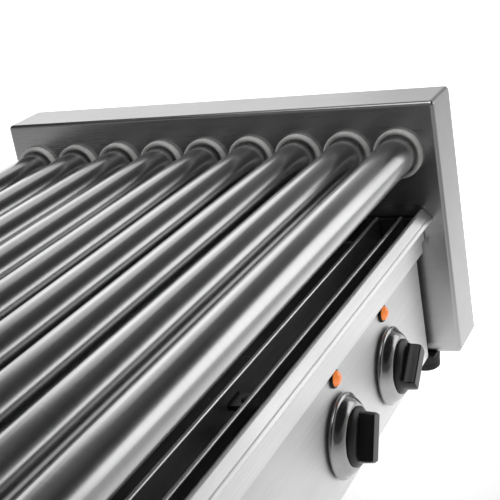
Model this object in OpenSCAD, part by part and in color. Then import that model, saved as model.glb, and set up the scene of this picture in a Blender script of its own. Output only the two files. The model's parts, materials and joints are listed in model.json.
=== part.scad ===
// Hot dog roller grill: parallel driven rollers between two side housings, with a
// slide-out drip tray, a control panel and a chain drive in the right-hand housing.
// Frame: +X to the right seen from the front, +Y to the back, +Z up.
// The origin is on the surface that the feet stand on, under the middle of the grill.

/* [Rollers] */
// Outer diameter of each heated roller
roller_d = 25.4; // [24.8:0.1:25.8]
// Distance between neighbouring roller axes
roller_pitch = 36; // [35.5:0.5:38]
// Wall thickness of a roller tube
roller_wall = 1.5; // [1.2:0.1:1.8]
// Height of the roller axes above the surface it stands on
axis_z = 161; // [158:0.5:163]

/* [Body] */
// Clear width between the inner faces of the two side housings
inner_w = 500; // [460:5:560]
// Width of each side housing, without its outer cover
housing_w = 38.8; // [38:0.2:42]
// Height of the housings' top above the surface it stands on
top_z = 195; // [193:0.5:200]
// Housing beyond the front roller's axis
front_margin = 27; // [26:0.5:32]
// Housing beyond the back roller's axis
back_margin = 21; // [20:0.5:26]
// Bend radius of the housings' edges
bend_r = 2.5; // [2:0.5:5]
// Sheet thickness of the housings and panels
sheet = 1.5; // [1.2:0.1:1.8]
// Height of the rubber feet
foot_h = 13; // [11:0.5:13]

/* [Drip tray] */
// Sheet thickness of the tray
tray_t = 1.2; // [1:0.1:1.4]
// Height of the tray's side and back walls above its floor
tray_wall_h = 18; // [12:0.5:18]

/* [Controls] */
// Distance from the right housing to the first knob
knob_inset = 89.7; // [86:0.1:96]
// Distance between the two knobs
knob_pitch = 87.7; // [80:0.1:95]
// Height of the knobs' axes
knob_z = 49; // [47:0.5:52]
// Diameter of a knob's metal skirt
knob_d = 50; // [44:0.5:52]
// Height of the indicator lamps
lamp_z = 85.4; // [84:0.1:87]
// Diameter of an indicator lamp's lens
lamp_d = 11.6; // [10.8:0.1:13]

/* [Drive] */
// Pitch of the drive chain's links
chain_pitch = 6.35; // [6.3:0.01:6.4]
// Height of the motor and tensioner axes
motor_z = 55; // [52:0.5:58]

/* [Hidden] */
$fn = 48;

rollers = 9;
roller_r = roller_d / 2;
half_w = inner_w / 2;
span = (rollers - 1) * roller_pitch;
front_y = -(span + front_margin + back_margin) / 2;
back_y = -front_y;
first_y = back_y - back_margin;            // axis of roller 1, at the back
last_y = first_y - span;                   // axis of the front roller
base_z = foot_h + sheet;                   // top of the base sheet
outer_x = half_w + housing_w;
cover_t = 1.2;
eps = 0.05;                                // radial running clearance

// Control box
panel_y = front_y + 20.8;                  // front face of the control panel
panel_x = half_w - 8;                      // half width of the two panels
panel_top = 96;
panel_low = base_z;
flange = 15;
rear_y = back_y - 20;                      // outer face of the rear panel
rear_top = 131;
gland_x = -200;
gland_z = 40;
gland_bore_r = 4;

// Drip tray
shelf_z = panel_top;
tray_z = panel_top + 2.2;
runner_low = tray_z - 16;                  // lower edge of the tray's runners
tray_front = front_y + 16.3;
tray_back = rear_y - 7;
tray_x = half_w - 3.5;
lip_x = half_w - 1.2;
lip_top = axis_z - 37.3;
lip_run = 7.5;
lip_drop = 9.7;
rail_top = axis_z - 42;
rail_y = [last_y + 18.5, last_y + 1.6];
rail_x = tray_x - 4;
skirt_low = lamp_z + lamp_d / 2 + 1.8;     // lower edge of the tray's front, over the panel's top
bracket_z = 107;

// Collars and holes for the rollers
collar_r = 16.8;
collar_out = 4.5;
sleeve_r = 14.8;
sleeve_in = 8;
tube_end = half_w + 14;

// Drive: every sprocket has the same twelve teeth
teeth = 12;
sprocket_r = chain_pitch / (2 * sin(180 / teeth));
chain_x = half_w + 20;
tooth_w = 2.8;
drive_centres = [[first_y, axis_z], [last_y, axis_z], [-40, motor_z], [70, motor_z]];
runs = len(drive_centres);
function centre(k) = drive_centres[k % runs];
function run_vec(k) = centre(k + 1) - centre(k);
function run_dir(k) = (atan2(run_vec(k)[1], run_vec(k)[0]) + 360) % 360;
function run_turn(k) = (run_dir(k + 1) - run_dir(k) + 360) % 360;
straight_sum = norm(run_vec(0)) + norm(run_vec(1)) + norm(run_vec(2)) + norm(run_vec(3));
links = teeth + 2 * round(straight_sum / chain_pitch / 2);
link_len = straight_sum / (links - teeth);
deg_per_mm = 360 / teeth / link_len;
function run_start(k) = k == 0 ? 0
  : run_start(k - 1) + norm(run_vec(k - 1)) + run_turn(k - 1) / deg_per_mm;
// Point on the chain's line at distance s, moved sideways by off from the pitch line
function on_run(k, s, off) = let (d = norm(run_vec(k)), t = s - run_start(k),
    a = run_dir(k) + max(0, t - d) * deg_per_mm, r = sprocket_r + off,
    u = run_dir(k))
  centre(k) + min(t, d) * [cos(u), sin(u)] + r * [sin(a), -cos(a)];
function run_at(s, k = 0) = k == runs - 1 || s < run_start(k + 1) ? k : run_at(s, k + 1);
function chain_point(s, off) = on_run(run_at(s), s, off);
// Turn that puts a sprocket's tooth gaps on the chain's pins
function top_phase(i) = -(i - 1) * roller_pitch * deg_per_mm;
function corner_phase(k) = run_dir(k) - (run_start(k) + norm(run_vec(k))) * deg_per_mm;

knob_x = [half_w - knob_inset, half_w - knob_inset - knob_pitch];
knob_turn = [53, 28];                      // how far each grip is turned from upright
switch_x = -150;
switch_z = 64;
switch_turn = 10;                          // tilt of the rocker at rest

steel = "gainsboro";
dark = "dimgray";

// ---------------------------------------------------------------- helpers

// Extrudes a (Y, Z) outline along X from x0 over len
module along_x(x0, len) { rotate([90, 0, 90]) translate([0, 0, x0]) linear_extrude(len) children(); }

// Extrudes an (X, Z) outline along Y from y0 over len
module along_y(y0, len) { translate([0, y0 + len, 0]) rotate([90, 0, 0]) linear_extrude(len) children(); }

// A box from its low corner to its high corner
module block(low, high) { translate(low) cube(high - low); }

// A cylinder along X
module rod_x(x0, len, y, z, r) { translate([x0, y, z]) rotate([0, 90, 0]) cylinder(h = len, r = r); }

// A cylinder along Y
module rod_y(y0, len, x, z, r) { translate([x, y0 + len, z]) rotate([90, 0, 0]) cylinder(h = len, r = r); }

// Corner points of a rectangle with one radius for all corners
function round_rect(a, b, r, n = 5) = [for (c = [0:3], i = [0:n])
  let (q = c * 90 + i * 90 / n,
       x = (c == 0 || c == 3) ? b[0] - r : a[0] + r,
       y = (c == 0 || c == 1) ? b[1] - r : a[1] + r)
  [x + r * cos(q), y + r * sin(q)]];

function roller_y(i) = first_y - (i - 1) * roller_pitch;

// Toothed disc outline with a tooth gap at angle 0
module sprocket_outline() {
  difference() {
    circle(r = sprocket_r + 0.8, $fn = 72);
    for (i = [0:teeth - 1]) rotate(i * 360 / teeth) translate([sprocket_r, 0]) circle(r = 1.75, $fn = 24);
  }
}

// ---------------------------------------------------------------- side housings

// Solid block of a right-hand housing, shrunk by inset on its five closed sides
module housing_block(inset, r, length) {
  lo_y = front_y + inset;
  hi_y = back_y - inset;
  lo_z = base_z + inset;
  hi_z = top_z - inset;
  x0 = half_w + inset;
  intersection() {
    along_x(x0, length) polygon(round_rect([lo_y, lo_z], [hi_y, hi_z], r));
    along_y(lo_y, hi_y - lo_y) polygon(round_rect([x0, lo_z], [x0 + length + 20, hi_z], r));
    translate([0, 0, lo_z]) linear_extrude(hi_z - lo_z)
      polygon(round_rect([x0, lo_y], [x0 + length + 20, hi_y], r));
  }
}

// Where the outer cover's screws go, in Y and Z
cover_holes = [[front_y + 12, base_z + 12], [back_y - 12, base_z + 12],
               [front_y + 12, top_z - 12], [back_y - 12, top_z - 12]];
lug_w = 12;

// Pan with its open side outwards: wall, roller holes and four screw lugs
module housing(drive) {
  difference() {
    union() {
      difference() {
        housing_block(0, bend_r, housing_w);
        housing_block(sheet, bend_r - sheet, housing_w + 1);
      }
      for (c = cover_holes)
        along_x(outer_x - 4, 4) translate(c) square([lug_w, lug_w] * 1.9, center = true);
    }
    for (i = [1:rollers]) rod_x(half_w - 1, sheet + 2, roller_y(i), axis_z, sleeve_r + eps);
    for (c = cover_holes) rod_x(outer_x - 9, 10, c[0], c[1], 1.7);
    if (drive) rod_x(half_w - 1, sheet + 2, drive_centres[2][0], motor_z, 10);
    // wires to the heating elements
    rod_x(half_w - 1, sheet + 2, 20, base_z + 18, 6);
  }
}

module right_housing() { color(steel) housing(true); }

module left_housing() { color(steel) mirror([1, 0, 0]) housing(false); }

// Flat cover with a louvre row of vent slots
module outer_cover() {
  difference() {
    along_x(outer_x, cover_t)
      polygon(round_rect([front_y + 0.5, base_z + 0.5], [back_y - 0.5, top_z - 0.5], bend_r));
    for (c = cover_holes) rod_x(outer_x - 1, cover_t + 2, c[0], c[1], 2.1);
    for (i = [-4:4]) along_x(outer_x - 1, cover_t + 2) translate([i * 14, base_z + 40])
      square([4, 34], center = true);
  }
}

module right_outer_cover() { color(steel) outer_cover(); }

module left_outer_cover() { color(steel) mirror([1, 0, 0]) outer_cover(); }

// Pan-head screws of one cover
module cover_screws() {
  for (c = cover_holes) {
    rod_x(outer_x - 8, 8 + cover_t, c[0], c[1], 1.6);
    difference() {
      rod_x(outer_x + cover_t, 1.8, c[0], c[1], 3.8);
      rod_x(outer_x + cover_t + 0.8, 2, c[0], c[1], 1.5, $fn = 6);
    }
  }
}

module right_cover_screws() { color("silver") cover_screws(); }

module left_cover_screws() { color("silver") mirror([1, 0, 0]) cover_screws(); }

// ---------------------------------------------------------------- base and panels

foot_x = half_w + 7;
foot_r = 10.5;
foot_y = front_y + 28;
base_screw_x = [-200, -70, 70, 200];
screw_in = 10.5;                           // base screws behind the panels' faces
base_in = 6;                               // base sheet's edge behind the panels' faces

// Base sheet: wide over the feet, narrower under the two panels' lower flanges
module base_pan() {
  edge = -foot_y + foot_r;
  color(steel) difference() {
    block([-outer_x + 3, -edge, foot_h], [outer_x - 3, edge, base_z]);
    block([-panel_x - 1, -edge - 1, foot_h - 1], [panel_x + 1, panel_y + base_in, base_z + 1]);
    block([-panel_x - 1, rear_y - base_in, foot_h - 1], [panel_x + 1, edge + 1, base_z + 1]);
    for (x = base_screw_x, y = [panel_y + screw_in, rear_y - screw_in]) translate([x, y, foot_h - 1])
      cylinder(h = sheet + 2, r = 1.7);
    // cooling slots under the control box
    for (i = [-6:6]) block([i * 16 - 2, 10, foot_h - 1], [i * 16 + 2, 60, base_z + 1]);
  }
}

// Screws that hold the base sheet under the panels' lower flanges
module base_screws() {
  color("silver") for (x = base_screw_x, y = [panel_y + screw_in, rear_y - screw_in])
    translate([x, y, foot_h]) {
      translate([0, 0, -2]) cylinder(h = 2, r = 3.6);
      cylinder(h = 8, r = 1.6);
    }
}

// Folded panel: a face at the front of a shallow pan that opens to the back
module folded_panel(y, low, high) {
  difference() {
    block([-panel_x, y, low], [panel_x, y + flange, high]);
    block([-panel_x + sheet, y + sheet, low + sheet], [panel_x - sheet, y + flange + 1, high - sheet]);
    for (x = base_screw_x) translate([x, y + screw_in, low - 1]) cylinder(h = sheet + 2, r = 1.7);
  }
}

module control_panel() {
  color(steel) difference() {
    folded_panel(panel_y, panel_low, panel_top);
    for (x = knob_x) {
      rod_y(panel_y - 1, 4, x, knob_z, 5);
      rod_y(panel_y - 1, 4, x, lamp_z, 5.2);
    }
    block([switch_x - 6.5, panel_y - 1, switch_z - 9.7], [switch_x + 6.5, panel_y + 3, switch_z + 9.7]);
  }
}

module rear_panel() {
  color(steel) difference() {
    union() {
      mirror([0, 1, 0]) folded_panel(-rear_y, panel_low, panel_top);
      // flat upstand behind the tray
      block([-panel_x, rear_y - sheet, panel_top - sheet], [panel_x, rear_y, rear_top]);
    }
    rod_y(rear_y - 4, 6, gland_x, gland_z, 8.05);
    for (i = [-5:5]) block([i * 18 - 6, rear_y - 3, 60], [i * 18 + 6, rear_y + 1, 63]);
    for (i = [-5:5]) block([i * 18 - 6, rear_y - 3, 70], [i * 18 + 6, rear_y + 1, 73]);
  }
}

// Sheet that closes the control box and shields it from the heat above
module tray_shelf() {
  color(steel) block([-half_w + 13, panel_y + 5, shelf_z], [half_w - 13, rear_y - flange - 1, shelf_z + 1.2]);
}

// Angle that one side of the tray slides on
module tray_runner() {
  x = half_w - 12;
  along_y(panel_y + 20, tray_back - panel_y - 30) union() {
    translate([x, tray_z - 0.2 - sheet]) square([12 - 0.02, sheet]);
    translate([half_w - sheet - 0.02, runner_low]) square([sheet, tray_z - 0.2 - runner_low]);
  }
}

module right_tray_runner() { color(steel) tray_runner(); }

module left_tray_runner() { color(steel) mirror([1, 0, 0]) tray_runner(); }

// ---------------------------------------------------------------- drip tray

// Sloping front lip: a bent strip with a folded hem along its lower edge
module lip_outline() {
  n = norm([lip_run, lip_drop]);
  d = [-lip_run, -lip_drop] / n;
  m = [d[1], -d[0]];
  top = [tray_front, lip_top];
  polygon([top, top + d * (n - 2.8), top + d * (n - 2.4) + m * 0.35, top + d * (n - 0.4) + m * 0.35,
           top + d * n, top + d * n - m * 1.8, top + d * (n - 0.6) - m * 2.4,
           top + d * (n - 3) - m * 2.4, top + d * (n - 3) - m * tray_t,
           [tray_front, lip_top - 1.5], [tray_front + tray_t, lip_top - 1.5],
           [tray_front + tray_t, lip_top]]);
}

module drip_tray() {
  color(dark) union() {
    difference() {
      block([-tray_x, tray_front, tray_z], [tray_x, tray_back, tray_z + tray_wall_h]);
      block([-tray_x + tray_t, tray_front + tray_t, tray_z + tray_t],
            [tray_x - tray_t, tray_back - tray_t, tray_z + tray_wall_h + 1]);
    }
    block([-tray_x, tray_front, tray_z + tray_t], [tray_x, tray_front + tray_t, lip_top - 0.8]);
    block([-panel_x, tray_front, skirt_low], [panel_x, tray_front + tray_t, tray_z + tray_t]);
    along_x(-lip_x, 2 * lip_x) lip_outline();
  }
}

// Upright strip with a rounded bead along its top, notched for the bracket
module splash_rail(y) {
  difference() {
    union() {
      block([-rail_x, y - 0.6, tray_z + tray_t], [rail_x, y + 0.6, rail_top - 1]);
      rod_x(-rail_x, 2 * rail_x, y, rail_top - 1.4, 1.4);
    }
    block([-7.3, y - 3, bracket_z - 0.3], [7.3, y + 3, bracket_z + 4.3]);
  }
}

module rear_splash_rail() { color(steel) splash_rail(rail_y[0]); }

module front_splash_rail() { color(steel) splash_rail(rail_y[1]); }

// Strap across both rails, with two legs down to the tray floor
module rail_bracket() {
  y0 = tray_front + tray_t;
  y1 = rail_y[0] + 9;
  color("black") union() {
    block([-7, y0, bracket_z], [7, y1, bracket_z + 3]);
    block([-7, y1 - 3, tray_z + tray_t], [7, y1, bracket_z + 1]);
    block([-7, y0, tray_z + tray_t], [7, y0 + 3, bracket_z + 1]);
    for (y = [rail_y[0] + 5, (rail_y[0] + rail_y[1]) / 2]) translate([0, y, bracket_z + 2])
      cylinder(h = 3, r = 3.2);
  }
}

// ---------------------------------------------------------------- rollers

module roller(i) {
  color("silver") difference() {
    rod_x(-tube_end, 2 * tube_end, roller_y(i), axis_z, roller_r);
    rod_x(-tube_end - 1, 2 * tube_end + 2, roller_y(i), axis_z, roller_r - roller_wall);
  }
}

// Sprocket body on an X axis at a centre; inner is how far its boss reaches inwards
module sprocket(c, phase, bore, boss_r, shoulder) {
  bore_from = shoulder ? tube_end - 12 : chain_x - 8;
  difference() {
    union() {
      along_x(chain_x - tooth_w / 2, tooth_w) translate(c) rotate(phase - 90) sprocket_outline();
      rod_x(chain_x - 5, 10, c[0], c[1], 9.2);
      if (shoulder) {
        rod_x(tube_end + 0.1, 2, c[0], c[1], roller_r);
        rod_x(tube_end - 10, 12, c[0], c[1], boss_r);
      }
    }
    rod_x(bore_from, 40, c[0], c[1], bore);
  }
}

module roller_sprocket(i) {
  color("darkgray") sprocket([roller_y(i), axis_z], top_phase(i), 6.5, roller_r - roller_wall - eps, true);
}

// One collar: a flange on the housing's inner face and a sleeve through it
module bushing(i) {
  translate([half_w, roller_y(i), axis_z]) rotate([0, 90, 0]) rotate_extrude($fn = 96)
    polygon([[roller_r + eps, -collar_out + 0.8], [roller_r + eps + 0.8, -collar_out],
             [collar_r - 1.2, -collar_out], [collar_r, -collar_out + 1.2], [collar_r, 0],
             [sleeve_r, 0], [sleeve_r, sleeve_in], [roller_r + eps, sleeve_in]]);
}

module right_bushings() { color("whitesmoke") for (i = [1:rollers]) bushing(i); }

module left_bushings() { color("whitesmoke") mirror([1, 0, 0]) for (i = [1:rollers]) bushing(i); }

element_x = outer_x - 10;

// Stationary tubular heaters, one along the axis of each roller
module heating_elements() {
  color("dimgray") for (i = [1:rollers]) {
    rod_x(-element_x - 1, 2 * element_x + 2, roller_y(i), axis_z, 4);
    rod_x(-element_x - 6, 2 * element_x + 12, roller_y(i), axis_z, 1.5);
  }
}

// Upright plate that holds the heaters' ends inside a housing
module element_bracket() {
  difference() {
    block([element_x - 1.5, last_y - 12, axis_z - 14], [element_x, first_y + 12, axis_z + 14]);
    for (i = [1:rollers]) rod_x(element_x - 3, 6, roller_y(i), axis_z, 4 + eps);
  }
  block([element_x - 1.5, -20, base_z + sheet], [element_x, 20, axis_z - 14]);
}

module right_element_bracket() { color(steel) element_bracket(); }

module left_element_bracket() { color(steel) mirror([1, 0, 0]) element_bracket(); }

// ---------------------------------------------------------------- drive

// Two rows of waisted side plates joined by the links' pins
module chain_plates(x0) {
  outer = [for (i = [0:links - 1]) each [chain_point(i * link_len, 2.7),
           chain_point((i + 0.5) * link_len, 2)]];
  inner = [for (i = [0:links - 1]) each [chain_point(i * link_len, -2.7),
           chain_point((i + 0.5) * link_len, -2)]];
  along_x(x0, 1) difference() {
    polygon(outer);
    polygon(inner);
  }
}

module drive_chain() {
  color("slategray") union() {
    chain_plates(chain_x - 2.8);
    chain_plates(chain_x + 1.8);
    for (i = [0:links - 1]) let (p = chain_point(i * link_len, 0))
      rod_x(chain_x - 3.2, 6.4, p[0], p[1], 1.15, $fn = 16);
  }
}

motor_c = drive_centres[2];
idler_c = drive_centres[3];

module gear_motor() {
  color("slategray") difference() {
    union() {
      block([half_w - 24, motor_c[0] - 30, motor_z - 30], [half_w - 1.6, motor_c[0] + 30, motor_z + 30]);
      rod_x(half_w - 64, 41, motor_c[0], motor_z, 26);
      rod_x(half_w - 68, 6, motor_c[0], motor_z, 8);
    }
    rod_x(half_w - 16, 20, motor_c[0], motor_z, 4 + eps);
  }
}

module motor_bracket() {
  color(steel) difference() {
    block([half_w - 1.55, motor_c[0] - 38, base_z + 3], [half_w - 0.05, motor_c[0] + 38, runner_low - 0.6]);
    rod_x(half_w - 5, 10, motor_c[0], motor_z, 10);
  }
}

// Sprocket on the gear motor's output shaft
module motor_sprocket() {
  color("darkgray") union() {
    sprocket(motor_c, corner_phase(1), 3, 0, false);
    rod_x(half_w - 15, 44, motor_c[0], motor_z, 4);
  }
}

module tensioner_arm() {
  color(steel) union() {
    block([half_w + sheet + 0.02, idler_c[0] - 8, motor_z - 8], [half_w + sheet + 3, idler_c[0] + 30, motor_z + 8]);
    rod_x(half_w + sheet + 1, chain_x - half_w + 6, idler_c[0], motor_z, 3.95);
  }
}

module tensioner_sprocket() {
  color("darkgray") sprocket(idler_c, corner_phase(2), 4, 0, false);
}

// ---------------------------------------------------------------- controls and electrics

module thermostat(i) {
  x = knob_x[i];
  y = panel_y + sheet;
  color("ivory") difference() {
    union() {
      block([x - 22, y + 6, knob_z - 20], [x + 22, y + 34, knob_z + 20]);
      rod_y(y + 0.1, 7, x, knob_z, 9);
      block([x - 14, y + 34, knob_z - 4], [x - 8, y + 40, knob_z + 4]);
      block([x + 8, y + 34, knob_z - 4], [x + 14, y + 40, knob_z + 4]);
    }
    rod_y(y - 1, 16, x, knob_z, 3 + eps);
  }
}

// Metal cone with a rim, turned about the knob's axis
module knob_skirt(i) {
  r = knob_d / 2;
  color("silver") translate([knob_x[i], panel_y, knob_z]) rotate([90, 0, 0]) rotate_extrude($fn = 96)
    polygon([[8, 1], [r - 1.2, 1], [r, 2.2], [r, 3.4], [r - 1, 4.3], [r - 4.6, 8.6], [r - 7, 9.6], [8, 9.6]]);
}

// Bar grip with hollow flanks on a domed base, and the shaft that enters the thermostat
module knob_grip(i) {
  r = knob_d / 2 - 7.4;
  color("black") translate([knob_x[i], panel_y, knob_z]) rotate([90, 0, 0]) union() {
    rotate_extrude($fn = 96)
      polygon([[0, 9.7], [r, 9.7], [r, 10.5], [r - 1.6, 11.9], [r - 4.2, 13.3], [0, 13.6]]);
    intersection() {
      rotate(-knob_turn[i]) rotate([90, 0, 0]) translate([0, 0, -20]) linear_extrude(40)
        polygon([[-8.2, 12], [8.2, 12], [6.3, 13.4], [5.4, 15.4], [5, 20.2], [4.4, 20.8],
                 [-4.4, 20.8], [-5, 20.2], [-5.4, 15.4], [-6.3, 13.4]]);
      translate([0, 0, 9.7]) cylinder(h = 20, r = 15);
    }
    translate([0, 0, -12]) cylinder(h = 22, r = 3);
    translate([0, 0, 1.2]) cylinder(h = 9, r = 7.9);
  }
}

// Domed lens with its lamp body behind the panel
module lamp(i) {
  r = lamp_d / 2;
  color("orange") translate([knob_x[i], panel_y, lamp_z]) rotate([90, 0, 0]) rotate_extrude($fn = 64)
    polygon(concat([[0, -22], [4.6, -22], [5.1, -18], [5.1, 0.02], [r, 0.02], [r, 0.8]],
                   [for (q = [10:20:90]) [(r - 0.3) * cos(q), 0.8 + 4.2 * sin(q)]]));
}

rocker_pivot = panel_y + 1.5;

// Frame and case of the rocker switch, with a bearing hole on each side
module switch_body() {
  color("black") difference() {
    union() {
      block([switch_x - 8, panel_y - 1.8, switch_z - 11.5], [switch_x + 8, panel_y - 0.02, switch_z + 11.5]);
      block([switch_x - 6.3, panel_y - 1, switch_z - 9.5], [switch_x + 6.3, panel_y + 20, switch_z + 9.5]);
    }
    block([switch_x - 5.3, panel_y - 3, switch_z - 8.7], [switch_x + 5.3, panel_y + 7, switch_z + 8.7]);
    rod_x(switch_x - 5.9, 11.8, rocker_pivot, switch_z, 1 + eps);
  }
}

// Rocker: a shallow V on two trunnions, at rest with its lower half pressed in
module switch_rocker() {
  color("firebrick") translate([switch_x, rocker_pivot, switch_z]) union() {
    rotate([switch_turn, 0, 0]) along_x(-4.8, 9.6)
      polygon([[-3.6, 8], [-2.3, 0], [-3.6, -8], [1, -7.6], [3.4, -2.5], [3.4, 2.5], [1, 7.6]]);
    rod_x(-5.8, 11.6, 0, 0, 1);
  }
}

module terminal_block() {
  color("ivory") difference() {
    block([-150, 40, base_z + 0.1], [-90, 62, base_z + 18]);
    for (i = [0:4]) translate([-144 + i * 12, 51, base_z + 8]) cylinder(h = 12, r = 2.4);
    for (i = [0:3]) block([-139 + i * 12, 39, base_z + 12], [-137 + i * 12, 63, base_z + 19]);
  }
}

// Tapered rubber feet under the ends of the base
module rubber_feet() {
  color("black") for (x = [-foot_x, foot_x], y = [foot_y, -foot_y]) translate([x, y, 0]) difference() {
    cylinder(h = foot_h - 0.02, r1 = foot_r - 1.3, r2 = foot_r);
    translate([0, 0, -1]) cylinder(h = 7, r = 4);
  }
}

// Round gland where the mains cable enters the rear panel
module cable_gland() {
  color("black") translate([gland_x, rear_y, gland_z]) rotate([-90, 0, 0]) rotate_extrude($fn = 64)
    polygon([[gland_bore_r, -12], [8, -12], [8, 0.05], [11, 0.05], [11, 5], [8, 6], [6.6, 14],
             [gland_bore_r, 14]]);
}

// ---------------------------------------------------------------- assembly

right_housing();
left_housing();
right_outer_cover();
left_outer_cover();
right_cover_screws();
left_cover_screws();
base_pan();
base_screws();
control_panel();
rear_panel();
tray_shelf();
right_tray_runner();
left_tray_runner();
drip_tray();
rear_splash_rail();
front_splash_rail();
rail_bracket();
for (i = [1:rollers]) {
  roller(i);
  roller_sprocket(i);
}
right_bushings();
left_bushings();
heating_elements();
right_element_bracket();
left_element_bracket();
terminal_block();
drive_chain();
gear_motor();
motor_bracket();
motor_sprocket();
tensioner_arm();
tensioner_sprocket();
for (i = [0:1]) {
  thermostat(i);
  knob_skirt(i);
  knob_grip(i);
  lamp(i);
}
switch_body();
switch_rocker();
rubber_feet();
cable_gland();
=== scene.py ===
"""Looks of the hot dog roller grill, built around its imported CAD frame. Metres, the frame's axes."""
import json
import math

import bmesh
import bpy
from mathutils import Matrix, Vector
from mathutils.geometry import tessellate_polygon


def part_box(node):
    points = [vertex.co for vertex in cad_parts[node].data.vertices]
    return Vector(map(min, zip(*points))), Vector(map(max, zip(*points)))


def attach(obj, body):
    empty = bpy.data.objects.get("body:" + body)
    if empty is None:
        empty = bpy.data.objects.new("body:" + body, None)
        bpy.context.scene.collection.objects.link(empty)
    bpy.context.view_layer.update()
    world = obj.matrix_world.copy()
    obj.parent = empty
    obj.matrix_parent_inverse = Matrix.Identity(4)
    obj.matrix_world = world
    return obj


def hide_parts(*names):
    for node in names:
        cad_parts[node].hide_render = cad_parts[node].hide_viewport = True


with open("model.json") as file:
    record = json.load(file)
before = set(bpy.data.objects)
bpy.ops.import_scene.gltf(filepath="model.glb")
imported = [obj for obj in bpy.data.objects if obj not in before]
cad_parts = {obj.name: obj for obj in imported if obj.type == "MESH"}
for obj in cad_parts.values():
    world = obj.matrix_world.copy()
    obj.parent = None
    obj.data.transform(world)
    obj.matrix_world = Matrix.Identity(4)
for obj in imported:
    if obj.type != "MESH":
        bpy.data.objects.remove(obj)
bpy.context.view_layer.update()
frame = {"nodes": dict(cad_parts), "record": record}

nodes = frame["nodes"]
slot_of = {row["node"]: row["material_slot"] for row in frame["record"]["subparts"]}

MM = 0.001
ROLLERS = 9
BEND_STEPS = 6                             # flats in a quarter turn of a bend or a round corner

# ---------------------------------------------------------------- measures from the frame

right_low, right_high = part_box("right_housing")
panel_low, panel_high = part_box("control_panel")
rear_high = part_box("rear_panel")[1]
tray_low, tray_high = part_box("drip_tray")
tube_low, tube_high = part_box("roller_1")
collar_low, collar_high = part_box("right_bushings")
bracket_low, bracket_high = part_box("rail_bracket")
gland_low, gland_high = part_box("cable_gland")
feet_low, feet_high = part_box("rubber_feet")

WALL_X = right_low.x                       # inner face of the right housing
HOUSING_END = right_high.x
SHEET = 1.5 * MM
BEND = 2.5 * MM
ROLLER_R = (tube_high.z - tube_low.z) / 2
ROLLER_WALL = 1.5 * MM
AXIS_Z = (tube_high.z + tube_low.z) / 2
TUBE_END = tube_high.x
COLLAR_R = (collar_high.z - collar_low.z) / 2
COLLAR_OUT = WALL_X - collar_low.x
SLEEVE_R = 14.8 * MM
EASE = 0.05 * MM                           # room between a part and the hole it sits in
TRAY_FRONT = -151.7 * MM                   # outer face of the tray's front wall
TRAY_SHEET = 1.2 * MM
SHARP = math.radians(34)                   # edges bent by more than this are shaded sharp


def middle(node):
    low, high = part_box(node)
    return (low + high) / 2


def roller_y(i):
    return middle(f"roller_{i}").y


# ---------------------------------------------------------------- mesh helpers

def arc(centre, radius, start, end, steps):
    """Points on a circle from one angle to another, in degrees."""
    return [(centre[0] + radius * math.cos(math.radians(start + (end - start) * k / steps)),
             centre[1] + radius * math.sin(math.radians(start + (end - start) * k / steps)))
            for k in range(steps + 1)]


def circle(centre, radius, steps=48):
    return arc(centre, radius, 0, 360 * (steps - 1) / steps, steps - 1)


def round_rect(low, high, radius):
    """Rectangle with round corners, counter-clockwise."""
    corners = ((high[0] - radius, high[1] - radius, 0), (low[0] + radius, high[1] - radius, 90),
               (low[0] + radius, low[1] + radius, 180), (high[0] - radius, low[1] + radius, 270))
    return [p for x, y, a in corners for p in arc((x, y), radius, a, a + 90, BEND_STEPS)]


def fillet(points, closed=True):
    """Turns (a, b, radius) corners into an outline with round corners."""
    out = []
    n = len(points)
    for i, (a, b, r) in enumerate(points):
        if r <= 0 or (not closed and i in (0, n - 1)):
            out.append((a, b))
            continue
        p = Vector((a, b))
        to_prev = Vector(points[i - 1][:2]) - p
        to_next = Vector(points[(i + 1) % n][:2]) - p
        u, v = to_prev.normalized(), to_next.normalized()
        half = u.angle(v) / 2
        back = min(r / math.tan(half), 0.49 * to_prev.length, 0.49 * to_next.length)
        r = back * math.tan(half)
        centre = p + (u + v).normalized() * (r / math.sin(half))
        first, last = p + u * back - centre, p + v * back - centre
        turn = first.angle_signed(last)
        for k in range(BEND_STEPS + 1):
            t = -turn * k / BEND_STEPS
            out.append((centre.x + first.x * math.cos(t) - first.y * math.sin(t),
                        centre.y + first.x * math.sin(t) + first.y * math.cos(t)))
    return out


def strip(path, thickness):
    """Outline of a bent sheet: its outer line, and the same line moved to the left by the thickness."""
    line = [Vector(p) for p in fillet(path, closed=False)]
    inner = []
    for i, p in enumerate(line):
        d0 = (p - line[i - 1]).normalized() if i else (line[1] - p).normalized()
        d1 = (line[i + 1] - p).normalized() if i < len(line) - 1 else d0
        n0, n1 = Vector((-d0.y, d0.x)), Vector((-d1.y, d1.x))
        m = (n0 + n1).normalized()
        inner.append(p + m * thickness / max(0.5, m.dot(n0)))
    return [tuple(p) for p in line] + [tuple(p) for p in reversed(inner)]


def along_x(a, b, c):
    """Outline in (Y, Z), run along X."""
    return (c, a, b)


def along_y(a, b, c):
    """Outline in (X, Z), run along Y."""
    return (a, c, b)


def add_loop(bm, outline, place, depth):
    return [bm.verts.new(place(a, b, depth)) for a, b in outline]


def add_band(bm, one, two):
    n = len(one)
    for i in range(n):
        j = (i + 1) % n
        bm.faces.new((one[i], one[j], two[j], two[i]))


def add_cap(bm, loops):
    """Flat face inside the first loop and outside the others."""
    flat = [v for loop in loops for v in loop]
    for tri in tessellate_polygon([[v.co for v in loop] for loop in loops]):
        corners = [flat[k] for k in tri]
        if len(set(corners)) == 3 and not bm.faces.get(corners):
            bm.faces.new(corners)


def add_prism(bm, outlines, place, start, end):
    """Solid between two depths: the first outline is its edge and the others are holes."""
    near = [add_loop(bm, o, place, start) for o in outlines]
    far = [add_loop(bm, o, place, end) for o in outlines]
    for one, two in zip(near, far):
        add_band(bm, one, two)
    add_cap(bm, near)
    add_cap(bm, far)


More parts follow.
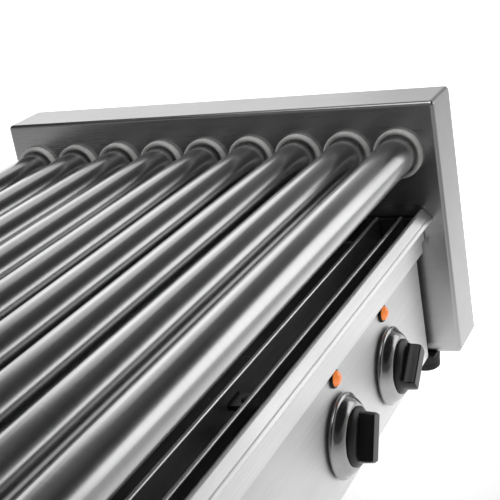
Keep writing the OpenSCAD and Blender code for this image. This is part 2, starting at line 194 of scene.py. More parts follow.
def add_pan(bm, low, high, depth, bend, wall, holes, place):
    """Sheet-metal pan: a face with holes, round bends, and walls that run back to depth."""
    corner = 0.6 * MM
    surfaces = []
    for inset, radius in ((0, bend), (wall, max(bend - wall, 0.1 * MM))):
        rings = []
        for k in range(BEND_STEPS + 1):
            t = math.radians(90 * k / BEND_STEPS)
            shrink = inset + radius * (1 - math.sin(t))
            outline = round_rect((low[0] + shrink, low[1] + shrink), (high[0] - shrink, high[1] - shrink),
                                 corner + radius * math.sin(t))
            rings.append(add_loop(bm, outline, place, inset + radius * (1 - math.cos(t))))
        outline = round_rect((low[0] + inset, low[1] + inset), (high[0] - inset, high[1] - inset),
                             corner + radius)
        rings.append(add_loop(bm, outline, place, depth))
        for one, two in zip(rings, rings[1:]):
            add_band(bm, one, two)
        cut = [add_loop(bm, h, place, inset) for h in holes]
        add_cap(bm, [rings[0]] + cut)
        surfaces.append((rings, cut))
    add_band(bm, surfaces[0][0][-1], surfaces[1][0][-1])
    for one, two in zip(surfaces[0][1], surfaces[1][1]):
        add_band(bm, one, two)


AXES = {"x": (Vector((1, 0, 0)), Vector((0, 1, 0)), Vector((0, 0, 1))),
        "front": (Vector((0, -1, 0)), Vector((1, 0, 0)), Vector((0, 0, 1))),
        "back": (Vector((0, 1, 0)), Vector((-1, 0, 0)), Vector((0, 0, 1))),
        "left": (Vector((-1, 0, 0)), Vector((0, -1, 0)), Vector((0, 0, 1))),
        "z": (Vector((0, 0, 1)), Vector((1, 0, 0)), Vector((0, 1, 0)))}


def add_turned(bm, profile, centre, axis, steps=64, closed=True):
    """Surface of revolution: (radius, along) points turned about an axis through centre."""
    d, u, v = AXES[axis]
    centre = Vector(centre)
    loops = []
    for r, h in profile:
        if r < 1e-7:
            loops.append([bm.verts.new(centre + d * h)])
            continue
        loops.append([bm.verts.new(centre + d * h + (u * math.cos(a) + v * math.sin(a)) * r)
                      for a in (2 * math.pi * k / steps for k in range(steps))])
    pairs = list(zip(loops, loops[1:])) + ([(loops[-1], loops[0])] if closed else [])
    for one, two in pairs:
        if len(one) == 1 and len(two) == 1:
            continue
        if len(one) == 1 or len(two) == 1:
            tip, rim = (one[0], two) if len(one) == 1 else (two[0], one)
            for i in range(steps):
                bm.faces.new((tip, rim[i], rim[(i + 1) % steps]))
        else:
            add_band(bm, one, two)


def piece(name, bm, body, slot, replaced=(), bevel=0.0, material=None):
    """Makes the named piece from bm, rides it on its body and gives it its finish."""
    bmesh.ops.remove_doubles(bm, verts=bm.verts, dist=1e-7)
    bmesh.ops.recalc_face_normals(bm, faces=bm.faces)
    mesh = bpy.data.meshes.new(name)
    bm.to_mesh(mesh)
    bm.free()
    mesh.shade_smooth()
    mesh.set_sharp_from_angle(angle=SHARP)
    obj = bpy.data.objects.new(name, mesh)
    bpy.context.scene.collection.objects.link(obj)
    mesh.materials.append(material or materials[slot])
    if bevel:
        add_bevel(obj, bevel)
    flat_shading(obj)
    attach(obj, body)
    if replaced:
        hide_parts(*replaced)


def add_bevel(obj, width):
    mod = obj.modifiers.new("bevel", "BEVEL")
    mod.width = width
    mod.segments = 2
    mod.limit_method = "ANGLE"
    mod.angle_limit = math.radians(40)
    mod.harden_normals = True


def flat_shading(obj):
    """Keeps large flat faces flat in their shading, next to small round edges."""
    mod = obj.modifiers.new("weighted_normal", "WEIGHTED_NORMAL")
    mod.mode = "FACE_AREA"
    mod.keep_sharp = True


def soft_edges():
    """Node group that welds a kept CAD mesh and shades it smooth up to a limit angle."""
    group = bpy.data.node_groups.new("soft_edges", "GeometryNodeTree")
    group.interface.new_socket("Geometry", in_out="INPUT", socket_type="NodeSocketGeometry")
    group.interface.new_socket("Geometry", in_out="OUTPUT", socket_type="NodeSocketGeometry")
    new = group.nodes.new
    start, end = new("NodeGroupInput"), new("NodeGroupOutput")
    weld = new("GeometryNodeMergeByDistance")
    weld.inputs["Distance"].default_value = 2e-6
    drop = new("GeometryNodeRemoveAttribute")
    drop.inputs["Name"].default_value = "custom_normal"
    angle = new("GeometryNodeInputMeshEdgeAngle")
    sharp = new("FunctionNodeCompare")
    sharp.data_type = "FLOAT"
    sharp.operation = "GREATER_THAN"
    sharp.inputs[1].default_value = SHARP
    store = new("GeometryNodeStoreNamedAttribute")
    store.data_type = "BOOLEAN"
    store.domain = "EDGE"
    store.inputs["Name"].default_value = "sharp_edge"
    smooth = new("GeometryNodeSetShadeSmooth")
    link = group.links.new
    link(start.outputs[0], weld.inputs["Geometry"])
    link(weld.outputs["Geometry"], drop.inputs["Geometry"])
    link(drop.outputs["Geometry"], store.inputs["Geometry"])
    link(angle.outputs["Unsigned Angle"], sharp.inputs[0])
    link(sharp.outputs[0], store.inputs["Value"])
    link(store.outputs["Geometry"], smooth.inputs["Geometry"])
    link(smooth.outputs["Geometry"], end.inputs[0])
    return group


# ---------------------------------------------------------------- materials

class Finish:
    """A procedural material under construction."""

    def __init__(self, name, color, roughness, metallic=0.0, **sockets):
        self.material = bpy.data.materials.new(name)
        self.material.use_nodes = True
        self.tree = self.material.node_tree
        self.bsdf = self.tree.nodes["Principled BSDF"]
        self.bsdf.inputs["Base Color"].default_value = (*color, 1)
        self.bsdf.inputs["Roughness"].default_value = roughness
        self.bsdf.inputs["Metallic"].default_value = metallic
        for key, value in sockets.items():
            self.bsdf.inputs[key.replace("_", " ")].default_value = value
        self.coords = self.tree.nodes.new("ShaderNodeTexCoord").outputs["Object"]

    def noise(self, stretch, detail=4.0):
        """Noise in object space; stretch gives cycles per metre along X, Y and Z."""
        mapping = self.tree.nodes.new("ShaderNodeMapping")
        mapping.inputs["Scale"].default_value = stretch
        self.tree.links.new(self.coords, mapping.inputs["Vector"])
        tex = self.tree.nodes.new("ShaderNodeTexNoise")
        tex.inputs["Scale"].default_value = 1.0
        tex.inputs["Detail"].default_value = detail
        tex.inputs["Roughness"].default_value = 0.6
        self.tree.links.new(mapping.outputs["Vector"], tex.inputs["Vector"])
        return tex.outputs["Fac"]

    def mixed(self, one, two, factor=0.5):
        node = self.tree.nodes.new("ShaderNodeMix")
        node.inputs[0].default_value = factor
        self.tree.links.new(one, node.inputs[2])
        self.tree.links.new(two, node.inputs[3])
        return node.outputs[0]

    def ranged(self, value, low, high, from_low=0.3, from_high=0.7):
        node = self.tree.nodes.new("ShaderNodeMapRange")
        node.inputs["From Min"].default_value = from_low
        node.inputs["From Max"].default_value = from_high
        node.inputs["To Min"].default_value = low
        node.inputs["To Max"].default_value = high
        self.tree.links.new(value, node.inputs["Value"])
        return node.outputs["Result"]

    def roughness(self, value, low, high):
        self.tree.links.new(self.ranged(value, low, high), self.bsdf.inputs["Roughness"])

    def color(self, value, *stops):
        """Colour from a value through a ramp of (position, colour) stops."""
        node = self.tree.nodes.new("ShaderNodeValToRGB")
        ramp = node.color_ramp
        while len(ramp.elements) < len(stops):
            ramp.elements.new(0.5)
        for element, (place, rgb) in zip(ramp.elements, stops):
            element.position = place
            element.color = (*rgb, 1)
        self.tree.links.new(value, node.inputs["Fac"])
        self.tree.links.new(node.outputs["Color"], self.bsdf.inputs["Base Color"])

    def bump(self, value, distance):
        node = self.tree.nodes.new("ShaderNodeBump")
        node.inputs["Distance"].default_value = distance
        node.inputs["Strength"].default_value = 1.0
        self.tree.links.new(value, node.inputs["Height"])
        self.tree.links.new(node.outputs["Normal"], self.bsdf.inputs["Normal"])


def grey(value):
    return (value, value, value * 1.005)


def brushed(name, shade, rough, along, grain=1500.0, depth=0.004 * MM):
    """Brushed stainless sheet: fine scratches along one axis, soft smears and slow shade changes."""
    fine = tuple(18.0 if axis == along else grain for axis in "xyz")
    wide = tuple(3.0 if axis == along else 90.0 for axis in "xyz")
    f = Finish(name, grey(shade), rough, metallic=1.0)
    scratch = f.noise(fine, detail=3.0)
    band = f.noise(wide, detail=3.0)
    cloud = f.noise((9.0, 9.0, 9.0), detail=2.0)
    f.color(f.mixed(scratch, band, 0.35), (0.3, grey(shade * 0.9)), (0.7, grey(min(shade * 1.08, 1.0))))
    f.roughness(f.mixed(scratch, cloud, 0.45), rough * 0.82, rough * 1.2)
    f.bump(scratch, depth)
    return f.material


def ground_tube(name):
    """Ground and polished tube: faint rings round the tube and light rub marks along it."""
    shade, rough = 0.54, 0.23
    f = Finish(name, grey(shade), rough, metallic=1.0)
    rings = f.noise((1600.0, 40.0, 40.0), detail=3.0)
    marks = f.noise((25.0, 260.0, 260.0), detail=3.0)
    cloud = f.noise((14.0, 30.0, 30.0), detail=2.0)
    f.color(f.mixed(rings, cloud, 0.5), (0.32, grey(shade * 0.9)), (0.68, grey(shade * 1.07)))
    f.roughness(f.mixed(rings, marks, 0.5), rough * 0.88, rough * 1.15)
    f.bump(rings, 0.0008 * MM)
    return f.material


def plain_metal(name, shade, rough, tint=(1, 1, 1), grain=500.0, depth=0.01 * MM, metallic=1.0):
    """Rolled, cast or machined metal with a fine even grain."""
    light, dark = [shade * 1.12 * t for t in tint], [shade * 0.85 * t for t in tint]
    f = Finish(name, dark, rough, metallic=metallic)
    fine = f.noise((grain, grain, grain), detail=4.0)
    cloud = f.noise((40.0, 40.0, 40.0), detail=3.0)
    f.color(f.mixed(fine, cloud, 0.6), (0.3, dark), (0.7, light))
    f.roughness(cloud, rough * 0.8, min(rough * 1.25, 1.0))
    f.bump(fine, depth)
    return f.material


def moulded(name, color, rough, grain=900.0, depth=0.01 * MM, **sockets):
    """Moulded plastic or rubber: a fine spark-eroded grain with soft gloss changes."""
    lift = [min(c * 1.25 + 0.003, 1.0) for c in color]
    drop = [c * 0.82 for c in color]
    f = Finish(name, color, rough, **sockets)
    fine = f.noise((grain, grain, grain), detail=2.0)
    cloud = f.noise((60.0, 60.0, 60.0), detail=3.0)
    f.color(cloud, (0.3, drop), (0.7, lift))
    f.roughness(f.mixed(fine, cloud, 0.5), rough * 0.85, min(rough * 1.2, 1.0))
    f.bump(fine, depth)
    return f.material


def painted_shade(name):
    """Near-black glossy finish of the drip tray's pan, as painted shade for the dark under the rollers."""
    f = Finish(name, (0.05, 0.05, 0.052), 0.2, Coat_Weight=0.4, Coat_Roughness=0.12, Metallic=0.35)
    peel = f.noise((220.0, 220.0, 220.0), detail=2.0)
    cloud = f.noise((22.0, 22.0, 22.0), detail=3.0)
    f.color(cloud, (0.3, (0.04, 0.04, 0.042)), (0.7, (0.065, 0.064, 0.064)))
    f.roughness(cloud, 0.18, 0.3)
    f.bump(peel, 0.02 * MM)
    return f.material


def lens(name):
    """Amber lens with its glow."""
    f = Finish(name, (0.9, 0.22, 0.03), 0.18, Coat_Weight=0.5, Emission_Strength=0.55)
    f.bsdf.inputs["Emission Color"].default_value = (1.0, 0.27, 0.06, 1)
    cells = f.noise((700.0, 700.0, 700.0), detail=1.0)
    f.color(cells, (0.3, (0.75, 0.14, 0.02)), (0.7, (1.0, 0.34, 0.08)))
    f.roughness(cells, 0.14, 0.24)
    f.bump(cells, 0.03 * MM)
    return f.material


materials = {
    "steel": brushed("steel_finish", 0.4, 0.3, "y"),
    "panel_steel": brushed("panel_steel_finish", 0.78, 0.48, "x"),
    "tray_steel": brushed("tray_steel_finish", 0.88, 0.42, "x"),
    "rail_steel": brushed("rail_steel_finish", 0.85, 0.34, "x"),
    "sheet_steel": plain_metal("sheet_steel_finish", 0.2, 0.45, (0.98, 1.0, 1.02), grain=350.0),
    "roller_steel": ground_tube("roller_steel_finish"),
    "black_metal": plain_metal("black_metal_finish", 0.05, 0.4, metallic=0.6),
    "zinc": plain_metal("zinc_finish", 0.62, 0.28, (1.0, 0.99, 0.95)),
    "gear_steel": plain_metal("gear_steel_finish", 0.42, 0.36),
    "chain_steel": plain_metal("chain_steel_finish", 0.2, 0.38, (1.0, 0.97, 0.92)),
    "heater_steel": plain_metal("heater_steel_finish", 0.16, 0.5, (1.0, 0.94, 0.86)),
    "motor_paint": plain_metal("motor_paint_finish", 0.12, 0.5, (0.9, 1.0, 1.1), metallic=0.2),
    "knob_metal": plain_metal("knob_metal_finish", 0.38, 0.2, grain=900.0, depth=0.002 * MM),
    "collar_plastic": moulded("collar_plastic_finish", (0.54, 0.54, 0.53), 0.5),
    "case_plastic": moulded("case_plastic_finish", (0.62, 0.58, 0.47), 0.45),
    "black_plastic": moulded("black_plastic_finish", (0.004, 0.004, 0.004), 0.3, Specular_IOR_Level=0.3),
    "red_plastic": moulded("red_plastic_finish", (0.42, 0.02, 0.015), 0.28),
    "amber_lens": lens("amber_lens_finish"),
    "foot_rubber": moulded("foot_rubber_finish", (0.005, 0.005, 0.005), 0.6, grain=500.0, depth=0.03 * MM,
                           Specular_IOR_Level=0.3),
}
# the drip tray's pan is made near black: painted shade under the rollers
pan_painted_shade = painted_shade("pan_painted_shade_finish")
# the base pan is near black in place of its sheet steel: painted shade under the grill
base_painted_shade = moulded("base_painted_shade_finish", (0.006, 0.006, 0.006), 0.6, grain=400.0, Specular_IOR_Level=0.3)


# ---------------------------------------------------------------- housings and covers

def housing(side):
    """Folded pan of one side housing with the rollers' holes in its face."""
    sign = 1 if side == "right" else -1
    bm = bmesh.new()
    holes = [circle((roller_y(i), AXIS_Z), SLEEVE_R + EASE) for i in range(1, ROLLERS + 1)]
    add_pan(bm, (right_low.y, right_low.z), (right_high.y, right_high.z), HOUSING_END - WALL_X, BEND, SHEET,
            holes, lambda a, b, c: (sign * (WALL_X + c), a, b))
    piece(f"{side}_housing_shell", bm, "frame", "steel", [f"{side}_housing"])


def outer_cover(side):
    """Flat cover with vent slots, round corners and eased edges."""
    sign = 1 if side == "right" else -1
    low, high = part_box(f"{side}_outer_cover")
    slots_each_side, pitch, slot_z = 4, 14 * MM, low.z + 39.5 * MM
    half_width, half_height = 2 * MM, 17 * MM
    screw_in, screw_r = 11.5 * MM, 2.1 * MM
    slots = []
    for k in range(-slots_each_side, slots_each_side + 1):
        y = k * pitch
        slots.append(round_rect((y - half_width, slot_z - half_height),
                                (y + half_width, slot_z + half_height), half_width - EASE))
    for y in (low.y + screw_in, high.y - screw_in):
        for z in (low.z + screw_in, high.z - screw_in):
            slots.append(circle((y, z), screw_r, 24))
    bm = bmesh.new()
    add_prism(bm, [round_rect((low.y, low.z), (high.y, high.z), BEND)] + slots, along_x, low.x, high.x)
    piece(f"{side}_cover_plate", bm, "frame", "steel", [f"{side}_outer_cover"], bevel=0.35 * MM)


# ---------------------------------------------------------------- panels

def control_panel():
    """Front panel: a shallow folded pan with holes for the knobs, the lamps and the switch."""
    shaft_hole, lamp_hole = 5 * MM, 5.2 * MM
    switch_half_x, switch_half_z = 6.5 * MM, 9.7 * MM
    holes = []
    for i in (1, 2):
        knob_at, lamp_at = middle(f"knob_{i}_skirt"), middle(f"lamp_{i}")
        holes.append(circle((knob_at.x, knob_at.z), shaft_hole, 32))
        holes.append(circle((lamp_at.x, lamp_at.z), lamp_hole, 32))
    at = middle("switch_body")
    holes.append(round_rect((at.x - switch_half_x, at.z - switch_half_z),
                            (at.x + switch_half_x, at.z + switch_half_z), 0.5 * MM))
    bm = bmesh.new()
    add_pan(bm, (panel_low.x, panel_low.z), (panel_high.x, panel_high.z), panel_high.y - panel_low.y,
            2 * MM, SHEET, holes, lambda a, b, c: (a, panel_low.y + c, b))
    piece("control_panel_face", bm, "frame", "panel_steel", ["control_panel"])


# ---------------------------------------------------------------- drip tray

def drip_tray():
    """Pan of the tray, near black as painted shade under the rollers."""
    side_gap, depth, bend = 2.3 * MM, 18 * MM, 3 * MM
    edge = tray_low.x + side_gap
    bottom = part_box("rear_splash_rail")[0].z - TRAY_SHEET
    bm = bmesh.new()
    add_pan(bm, (edge, TRAY_FRONT + TRAY_SHEET), (-edge, tray_high.y), depth, bend, TRAY_SHEET, [],
            lambda a, b, c: (a, b, bottom + c))
    piece("drip_tray_pan", bm, "tray", "tray_steel", ["drip_tray"], material=pan_painted_shade)


def tray_lip():
    """Bent front strip of the tray: front wall, sloping lip with a folded hem, and a skirt behind the lip."""
    front, inner, top = TRAY_FRONT, TRAY_FRONT + TRAY_SHEET, tray_high.z
    wall_low = top - 24 * MM
    slope = Vector((-7.5 * MM, -9.7 * MM))
    length, d = slope.length, slope.normalized()
    m = Vector((d.y, -d.x))                # points out of the lip's face
    hem, hem_back = 3.2 * MM, -2.2 * MM    # how far the hem is folded back, and where its back lies
    swell = 0.16 * MM                      # how far the hem stands out of the lip's face

    def on_lip(s, out=0.0):
        p = Vector((front, top)) + d * s + m * out
        return (p.x, p.y)

    peak = top + TRAY_SHEET * slope.y / slope.x
    under = m.x * TRAY_SHEET / d.x         # where the lip's underside meets the front wall
    outline = [(inner, wall_low, 0), (inner, peak, 2.4 * MM), (*on_lip(length - hem - 0.2 * MM), 2 * MM),
               (*on_lip(length - hem + 0.8 * MM, swell), 2 * MM), (*on_lip(length, swell), 1.1 * MM),
               (*on_lip(length, hem_back), 1.1 * MM), (*on_lip(length - hem, hem_back), 0.3 * MM),
               (*on_lip(length - hem, -TRAY_SHEET), 0), (*on_lip(under, -TRAY_SHEET), 1.2 * MM),
               (front, wall_low, 0)]
    bm = bmesh.new()
    add_prism(bm, [fillet(outline)], along_x, tray_low.x, tray_high.x)
    skirt = [(front, tray_low.z), (inner, tray_low.z), (inner, wall_low), (front, wall_low)]
    add_prism(bm, [skirt], along_x, panel_low.x, panel_high.x)
    piece("drip_tray_lip", bm, "tray", "tray_steel", bevel=0.2 * MM)


def splash_rail(node):
    """Upright strip with a round bead along its top edge and a window for the bracket."""
    low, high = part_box(node)
    y = (low.y + high.y) / 2
    bead, half_strip, ease = 1.4 * MM, 0.6 * MM, 0.4 * MM
    window_half, window_low, window_high = 7.3 * MM, 106.7 * MM, 111.3 * MM
    bm = bmesh.new()
    window = [(-window_half, window_low), (window_half, window_low), (window_half, window_high),
              (-window_half, window_high)]
    edge = [(low.x, low.z), (high.x, low.z), (high.x, high.z - bead), (low.x, high.z - bead)]
    add_prism(bm, [edge, window], along_y, y - half_strip, y + half_strip)
    half = (high.x - low.x) / 2
    add_turned(bm, [(0, -half), (bead - ease, -half), (bead, -half + ease), (bead, half - ease),
                    (bead - ease, half), (0, half)], (0, y, high.z - bead), "x", 20, closed=False)
    piece(f"{node}_strip", bm, "tray", "rail_steel", [node])


def rail_bracket():
    """Bent strap over the rails with two domed bolts."""
    low, high = bracket_low, bracket_high
    top, bend, thick = 110 * MM, 2.6 * MM, 2.9 * MM
    path = [(low.y, low.z, 0), (low.y, top, bend), (high.y, top, bend), (high.y, low.z, 0)]
    bm = bmesh.new()
    add_prism(bm, [strip(path, -thick)], along_x, low.x, high.x)
    piece("rail_bracket_strap", bm, "tray", "black_metal", ["rail_bracket"], bevel=0.4 * MM)
    head = [(r * MM, h * MM) for r, h in ((0, 0), (3.2, 0), (3.2, 0.9), (2.7, 1.6), (1.5, 2), (0, 2))]
    bolts = bmesh.new()
    for y in (-117.5 * MM, -130.95 * MM):
        add_turned(bolts, head, (0, y, top), "z", 24, closed=False)
    piece("rail_bracket_bolts", bolts, "tray", "black_metal")


# ---------------------------------------------------------------- rollers

def roller(i):
    """Plain tube with eased ends."""
    ease = 0.5 * MM
    bore = ROLLER_R - ROLLER_WALL
    profile = [(bore, -TUBE_END), (ROLLER_R - ease, -TUBE_END), (ROLLER_R, -TUBE_END + ease),
               (ROLLER_R, TUBE_END - ease), (ROLLER_R - ease, TUBE_END), (bore, TUBE_END)]
    bm = bmesh.new()
    add_turned(bm, profile, (0, roller_y(i), AXIS_Z), "x", 96)
    piece(f"roller_{i}_tube", bm, f"roller_{i}", "roller_steel", [f"roller_{i}"])


def collars(side):
    """Nine collars: a rounded ring round a recessed seat, and a sleeve through the wall."""
    bore = ROLLER_R + EASE
    face = -COLLAR_OUT
    round_r, ease, sleeve = 1.4 * MM, 0.3 * MM, 8 * MM
    seat, floor_at = COLLAR_R - 2 * round_r, face + 3.4 * MM
    profile = [(bore, floor_at), (seat - 0.1 * MM, floor_at), (seat, floor_at - 0.1 * MM)]
    profile += arc((COLLAR_R - round_r, face + round_r), round_r, 180, 360, 14)
    profile += [(COLLAR_R, -ease), (COLLAR_R - ease, 0), (SLEEVE_R, 0), (SLEEVE_R, sleeve), (bore, sleeve)]
    bm = bmesh.new()
    sign = 1 if side == "right" else -1
    for i in range(1, ROLLERS + 1):
        add_turned(bm, profile, (sign * WALL_X, roller_y(i), AXIS_Z), "x" if sign > 0 else "left", 72)
    piece(f"{side}_collars", bm, "frame", "collar_plastic", [f"{side}_bushings"])


# ---------------------------------------------------------------- controls

KNOB_TURN = (53, 28)                       # degrees each grip is turned from upright
# the bar of a grip, from its foot to its front: half-width, height off the panel, half-length, in mm
BAR_LEVELS = ((8.0, 12.1, 14.9), (7.1, 12.7, 14.8), (6.4, 13.4, 14.7), (5.9, 14.3, 14.6), (5.5, 15.5, 14.5),
              (5.2, 17.2, 14.4), (5.0, 19.6, 14.2), (4.8, 20.3, 13.9), (4.4, 20.7, 13.5), (4.0, 20.8, 13.1))


def knob(i):
    """Bright metal skirt and black bar grip of one knob."""
    low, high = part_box(f"knob_{i}_skirt")
    r = (high.x - low.x) / 2
    centre = Vector(((low.x + high.x) / 2, panel_low.y, (low.z + high.z) / 2))
    bore, rim, back, front = 8 * MM, 1.4 * MM, 1.1 * MM, 9.5 * MM
    profile = [(bore, back), (r - rim, back)] + arc((r - rim, 2.6 * MM), rim, -70, 80, 8)
    profile += [(r - inset * MM, w * MM) for inset, w in ((1.9, 4.7), (3.1, 6.7), (4.5, 8.2), (5.9, 9.1))]
    profile += [(r - 7 * MM, front), (bore, front)]
    bm = bmesh.new()
    add_turned(bm, profile, centre, "front", 96)
    piece(f"knob_{i}_cone", bm, f"knob_{i}", "knob_metal", [f"knob_{i}_skirt"])

    dome_r = r - 7.6 * MM
    dome = [(0, 9.7 * MM)]
    dome += [(dome_r - inset * MM, w * MM)
             for inset, w in ((0, 9.7), (0, 10.4), (0.5, 11.0), (1.8, 11.9), (3.6, 12.8), (5.4, 13.3))]
    dome.append((0, 13.5 * MM))
    bm = bmesh.new()
    add_turned(bm, dome, centre, "front", 72, closed=False)
    turn = math.radians(KNOB_TURN[i - 1])
    across, along = Vector((math.cos(turn), 0, -math.sin(turn))), Vector((math.sin(turn), 0, math.cos(turn)))
    section = [(-b, w, reach) for b, w, reach in BAR_LEVELS] + list(reversed(BAR_LEVELS))
    stations = 28
    loops = []
    for k in range(stations + 1):
        t = math.radians(-90 + 180 * k / stations)
        loop = []
        for b, w, reach in section:
            reach *= MM
            side = min(abs(b) * MM, reach * math.cos(t) + EASE) * (1 if b > 0 else -1)
            point = centre + along * (reach * math.sin(t)) + across * side + Vector((0, -w * MM, 0))
            loop.append(bm.verts.new(point))
        loops.append(loop)
    for one, two in zip(loops, loops[1:]):
        add_band(bm, one, two)
    bm.faces.new(loops[0])
    bm.faces.new(loops[-1])
    piece(f"knob_{i}_bar", bm, f"knob_{i}", "black_plastic", [f"knob_{i}_grip"])


def lamp(i):
    """Domed amber lens in a raised dark rim."""
    at = middle(f"lamp_{i}")
    low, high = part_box(f"lamp_{i}")
    r = (high.x - low.x) / 2
    centre = (at.x, panel_low.y, at.z)
    barrel, depth = 4.9 * MM, 6 * MM
    lens_r = r - 1.2 * MM
    dome = [(barrel, -depth), (barrel, 0.5 * MM), (lens_r, 0.6 * MM), (lens_r, 1.6 * MM)]
    dome += [((lens_r - 0.1 * MM) * math.cos(t), 1.7 * MM + 3.2 * MM * math.sin(t))
             for t in (math.radians(a) for a in range(0, 90, 9))] + [(0, barrel)]
    bm = bmesh.new()
    add_turned(bm, dome, centre, "front", 48, closed=False)
    piece(f"lamp_{i}_lens", bm, "frame", "amber_lens", [f"lamp_{i}"])
    bore, height = barrel + EASE, 1.8 * MM
    bm = bmesh.new()
    add_turned(bm, [(bore, EASE), (r, EASE), (r, 1.1 * MM), (r - 0.5 * MM, height), (lens_r + EASE, height),
                    (lens_r + EASE, 0.5 * MM), (bore, 0.45 * MM)], centre, "front", 48)
    piece(f"lamp_{i}_rim", bm, "frame", "black_plastic")


def feet():
    """Tapered rubber feet with a grooved waist and a recess underneath."""
    top, r = feet_high.z, 10.5 * MM
    recess_r, recess_top = 4 * MM, 6 * MM
    profile = [(recess_r, 0), (8.4 * MM, 0), (9.2 * MM, 0.8 * MM), (9.5 * MM, 4 * MM), (9.3 * MM, 4.6 * MM),
               (9.55 * MM, 5.2 * MM), (10.3 * MM, top - 1 * MM), (r, top - 0.6 * MM), (r, top), (0, top),
               (0, recess_top), (recess_r, recess_top)]
    bm = bmesh.new()
    for x in (feet_low.x + r, feet_high.x - r):
        for y in (feet_low.y + r, feet_high.y - r):
            add_turned(bm, profile, (x, y, 0), "z", 48)
    piece("rubber_foot_set", bm, "frame", "foot_rubber", ["rubber_feet"])


def gland():
    """Strain-relief gland with a ribbed nose, without a cord."""
    at = Vector(((gland_low.x + gland_high.x) / 2, rear_high.y, (gland_low.z + gland_high.z) / 2))
    bore, thread, nut = 4 * MM, 8 * MM, 11 * MM
    profile = [(bore, -12 * MM), (thread, -12 * MM), (thread, EASE), (nut, EASE), (nut, 4.4 * MM),
               (10.4 * MM, 5 * MM), (thread, 5.6 * MM)]
    profile += [(r * MM, h * MM) for k in range(4)
                for r, h in ((7.9 - 0.3 * k, 6.2 + 2 * k), (7.9 - 0.3 * k, 7.4 + 2 * k),
                             (7.2 - 0.3 * k, 7.6 + 2 * k), (7.2 - 0.3 * k, 8.0 + 2 * k))]
    profile += [(6.2 * MM, 14 * MM), (bore, 14 * MM)]
    bm = bmesh.new()
    add_turned(bm, profile, at, "back", 48)
    piece("cable_gland_nose", bm, "frame", "black_plastic", ["cable_gland"])


# ---------------------------------------------------------------- kept CAD nodes

def dress_cad():
    """Finish and softened edges for every CAD node that stays in view."""
    group = soft_edges()
    for name, obj in nodes.items():
        obj.data.materials.clear()
        # the base pan gets the near-black finish: painted shade under the grill
        obj.data.materials.append(base_painted_shade if name == "base_pan" else materials[slot_of[name]])
        if obj.hide_render:
            continue
        mod = obj.modifiers.new("soft_edges", "NODES")
        mod.node_group = group
        if name != "drive_chain":
            add_bevel(obj, 0.2 * MM)


# ---------------------------------------------------------------- camera, floor and light

GLOW_NEAR, GLOW_FAR = 0.2, 1.25                 # the floor's own glow (painted light) at the front left, weak there as painted shade near the object, and elsewhere
GLOW_X, GLOW_Y = (-0.3, 0.26), (-0.36, -0.12)    # where the floor's glow begins and is full
GLOW_SLANT = 0.1                                # how far that edge turns toward the front as X grows
CAMERA_AT = (-0.47356, -0.38924, 0.37912)
CAMERA_TURN = (70.284, 9.3225, -66.2336)        # degrees about X, Y and Z
CAMERA_LENS = 85.26                             # mm, on a sensor 36 mm wide
FLOOR_HALF = 8.0
SKY = ((0.0, 1.2), (0.3, 1.2), (0.45, 0.12), (1.0, 0.06))    # height of a direction, brightness
SKY_SIDES = {"X": (-0.4, 0.4, 0.25, 1.0), "Y": (-0.3, 0.1, 0.3, 1.0)}   # dimmer on the left and in front
# name, place, aim, size and brightness of each soft box
SOFT_BOXES = (("back_right", (1.0, 0.51, 0.76), (0.0, 0.51, 0.76), (0.68, 0.68), 0.68),
              ("front_card", (1.0, -0.9, 0.34), (0.0, -0.3, 0.15), (0.75, 0.6), 1.4),
              ("top_soft", (-0.3, -0.2, 1.7), (0, 0, 0), (1.4, 1.4), 2.8))


def camera():
    data = bpy.data.cameras.new("camera")
    data.lens = CAMERA_LENS
    data.sensor_width = 36
    data.clip_start = 0.01
    obj = bpy.data.objects.new("camera", data)
    obj.location = CAMERA_AT
    obj.rotation_euler = [math.radians(a) for a in CAMERA_TURN]
    bpy.context.scene.collection.objects.link(obj)
    bpy.context.scene.camera = obj


def floor():
    """Pale table top that glows by itself as painted light, so that it stays white far off, and glows less at
    the front left as painted shade near the object.
    """
    f = Finish("floor_finish", (0.5, 0.5, 0.5), 0.8)
    f.color(f.noise((3.0, 3.0, 3.0)), (0.3, (0.48, 0.48, 0.48)), (0.7, (0.51, 0.51, 0.51)))
    split = f.tree.nodes.new("ShaderNodeSeparateXYZ")
    slant, product, glow = (f.tree.nodes.new("ShaderNodeMath") for _ in range(3))
    slant.operation = glow.operation = "MULTIPLY_ADD"
    product.operation = "MULTIPLY"
    slant.inputs[1].default_value = GLOW_SLANT
    glow.inputs[1].default_value = GLOW_FAR - GLOW_NEAR
    glow.inputs[2].default_value = GLOW_NEAR
    link = f.tree.links.new
    link(f.coords, split.inputs[0])
    link(split.outputs["X"], slant.inputs[0])
    link(split.outputs["Y"], slant.inputs[2])
    link(f.ranged(split.outputs["X"], 0, 1, *GLOW_X), product.inputs[0])
    link(f.ranged(slant.outputs[0], 0, 1, *GLOW_Y), product.inputs[1])
    link(product.outputs[0], glow.inputs[0])
    link(glow.outputs[0], f.bsdf.inputs["Emission Strength"])
    f.bsdf.inputs["Emission Color"].default_value = (1, 1, 1, 1)
    bm = bmesh.new()
    corners = ((-1, -1), (1, -1), (1, 1), (-1, 1))
    bm.faces.new([bm.verts.new((x * FLOOR_HALF, y * FLOOR_HALF, 0)) for x, y in corners])
    mesh = bpy.data.meshes.new("floor")
    bm.to_mesh(mesh)
    bm.free()
    obj = bpy.data.objects.new("floor", mesh)
    bpy.context.scene.collection.objects.link(obj)
    mesh.materials.append(f.material)


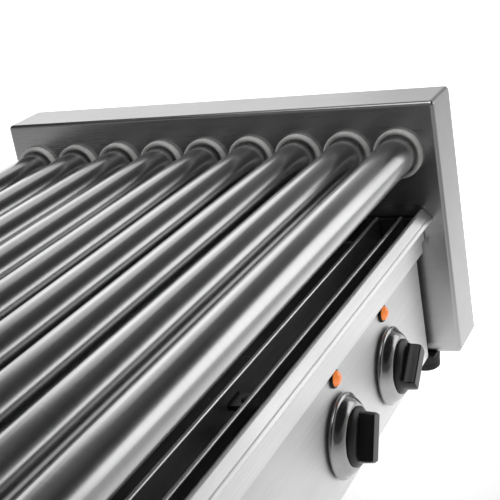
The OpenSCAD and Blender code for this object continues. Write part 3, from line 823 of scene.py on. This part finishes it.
def area_light(name, at, aim, size, radiance):
    """Rectangular soft box of a given brightness, out of the camera's sight."""
    data = bpy.data.lights.new(name, "AREA")
    data.shape = "RECTANGLE"
    data.size, data.size_y = size
    data.energy = radiance * math.pi * size[0] * size[1]
    obj = bpy.data.objects.new(name, data)
    obj.location = at
    obj.rotation_euler = (Vector(aim) - Vector(at)).to_track_quat("-Z", "Y").to_euler()
    obj.visible_camera = False
    bpy.context.scene.collection.objects.link(obj)


def lights():
    """A sky whose brightness follows the direction, and the soft boxes."""
    world = bpy.data.worlds.new("studio")
    bpy.context.scene.world = world
    world.use_nodes = True
    tree = world.node_tree
    back = tree.nodes["Background"]
    coords = tree.nodes.new("ShaderNodeTexCoord")
    split = tree.nodes.new("ShaderNodeSeparateXYZ")
    ramp = tree.nodes.new("ShaderNodeValToRGB")
    tree.links.new(coords.outputs["Generated"], split.inputs[0])
    tree.links.new(split.outputs["Z"], ramp.inputs["Fac"])
    tree.links.new(ramp.outputs["Color"], back.inputs["Color"])
    elements = ramp.color_ramp.elements
    while len(elements) < len(SKY):
        elements.new(0.5)
    for element, (place, value) in zip(elements, SKY):
        element.position = place
        element.color = (value, value, value, 1)
    both = tree.nodes.new("ShaderNodeMath")
    both.operation = "MULTIPLY"
    for place, (axis, limits) in enumerate(SKY_SIDES.items()):
        side = tree.nodes.new("ShaderNodeMapRange")
        for socket, value in zip(("From Min", "From Max", "To Min", "To Max"), limits):
            side.inputs[socket].default_value = value
        tree.links.new(split.outputs[axis], side.inputs["Value"])
        tree.links.new(side.outputs["Result"], both.inputs[place])
    tree.links.new(both.outputs[0], back.inputs["Strength"])
    for row in SOFT_BOXES:
        area_light(*row)


# ---------------------------------------------------------------- assembly

camera()
for side in ("right", "left"):
    housing(side)
    outer_cover(side)
    collars(side)
control_panel()
drip_tray()
tray_lip()
splash_rail("rear_splash_rail")
splash_rail("front_splash_rail")
rail_bracket()
for number in range(1, ROLLERS + 1):
    roller(number)
for number in (1, 2):
    knob(number)
    lamp(number)
feet()
gland()
dress_cad()
floor()
lights()
bpy.context.scene.view_settings.view_transform = "Standard"
